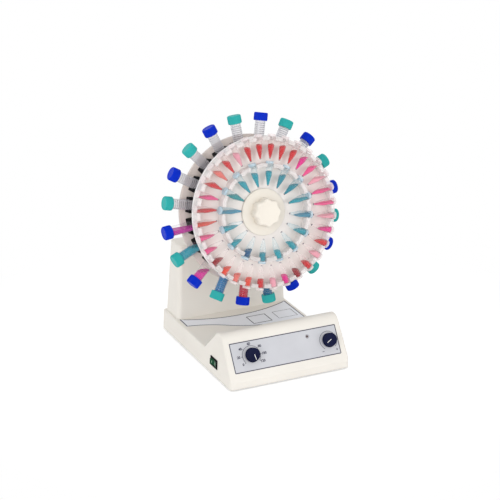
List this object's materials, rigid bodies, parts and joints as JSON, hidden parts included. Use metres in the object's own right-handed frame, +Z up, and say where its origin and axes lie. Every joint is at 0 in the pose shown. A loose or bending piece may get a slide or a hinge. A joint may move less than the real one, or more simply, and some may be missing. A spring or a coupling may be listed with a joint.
{
  "type": "tube rotator",
  "caption": "Bench rotator: tilted rotor with sprung clips and slotted rings for sample tubes on a moulded base with timer, speed knob and rocker switch.",
  "frame": {"origin": "middle of the footprint on the surface that the feet stand on", "axes": "+Z up, -Y towards the control panel, +X to the right of someone facing the panel"},
  "size_m": [0.3176, 0.28, 0.3999],
  "materials": {
    "cream_plastic": "fine moulded texture, warm ivory",
    "disc_plastic": "satin ivory moulding",
    "painted_plate": "powder coated steel",
    "foot_rubber": "matt black rubber",
    "zinc_steel": "zinc plated",
    "bare_steel": "ground steel",
    "motor_steel": "plated can",
    "turned_aluminium": "turned",
    "black_plastic": "semi-matt black",
    "tube_clear": "clear polypropylene",
    "clear_acrylic": "clear acrylic, polished edges",
    "blue_plastic": "royal blue, ribbed",
    "teal_plastic": "teal, ribbed",
    "panel_film": "pale lavender-grey film with a dark keyline",
    "navy_plastic": "navy with a white pointer",
    "lamp_lens": "dark unlit lens",
    "green_rocker": "translucent green",
    "circuit_board": "green solder mask",
    "brass_pillars": "nickel-free brass"
  },
  "bodies": {
    "base": {"housing_shell": "cream_plastic", "base_plate": "painted_plate", "rubber_feet": "foot_rubber", "base_screws": "zinc_steel", "head_shell": "cream_plastic", "head_rear_cover": "cream_plastic", "cover_screws": "zinc_steel", "head_screws": "zinc_steel", "shaft_bearings": "bare_steel", "motor_plate": "zinc_steel", "gear_motor": "motor_steel", "front_panel_film": "panel_film", "control_nuts": "zinc_steel", "timer_unit": "motor_steel", "speed_control": "motor_steel", "power_lamp": "lamp_lens", "switch_frame": "black_plastic", "deck_label": "panel_film", "power_inlet": "black_plastic", "inlet_pins": "bare_steel", "fuse_holder": "black_plastic", "control_board": "circuit_board", "board_standoffs": "brass_pillars", "mains_transformer": "motor_steel"},
    "rotor": {"drive_shaft": "bare_steel", "gearbox_output": "bare_steel", "hub_flange": "turned_aluminium", "flange_screws": "zinc_steel", "back_disc": "disc_plastic", "tube_clips": "black_plastic", "large_tubes": "tube_clear", "blue_caps": "blue_plastic", "teal_caps": "teal_plastic", "centre_drum": "disc_plastic", "front_disc": "clear_acrylic", "outer_tube_rack": "clear_acrylic", "inner_tube_rack": "clear_acrylic", "outer_micro_tubes": "tube_clear", "inner_micro_tubes": "tube_clear", "hub_plate": "disc_plastic"},
    "hub_knob": {"hub_knob": "disc_plastic"},
    "timer_knob": {"timer_knob": "navy_plastic", "timer_spindle": "bare_steel"},
    "speed_knob": {"speed_knob": "navy_plastic", "speed_spindle": "bare_steel"},
    "power_rocker": {"power_rocker": "green_rocker"}
  },
  "joints": [
    {"name": "rotor_spin", "type": "hinge", "parent": "base", "child": "rotor", "pos_m": [0, 0.01035, 0.2435], "axis": [0, -0.9767, 0.2147], "continuous": true},
    {"name": "hub_knob_turn", "type": "hinge", "parent": "rotor", "child": "hub_knob", "pos_m": [0, -0.04825, 0.25638], "axis": [0, -0.9767, 0.2147], "range_deg": [0, 360]},
    {"name": "timer_knob_turn", "type": "hinge", "parent": "base", "child": "timer_knob", "pos_m": [-0.0613, -0.11944, 0.0479], "axis": [0, -0.848, 0.5299], "range_deg": [-317, 0]},
    {"name": "speed_knob_turn", "type": "hinge", "parent": "base", "child": "speed_knob", "pos_m": [0.0772, -0.11944, 0.0479], "axis": [0, -0.848, 0.5299], "range_deg": [-254, 16]},
    {"name": "rocker_tilt", "type": "hinge", "parent": "base", "child": "power_rocker", "pos_m": [-0.10621, -0.0755, 0.0255], "axis": [0.0349, 0, 0.9994], "range_deg": [-14, 0]}
  ]
}
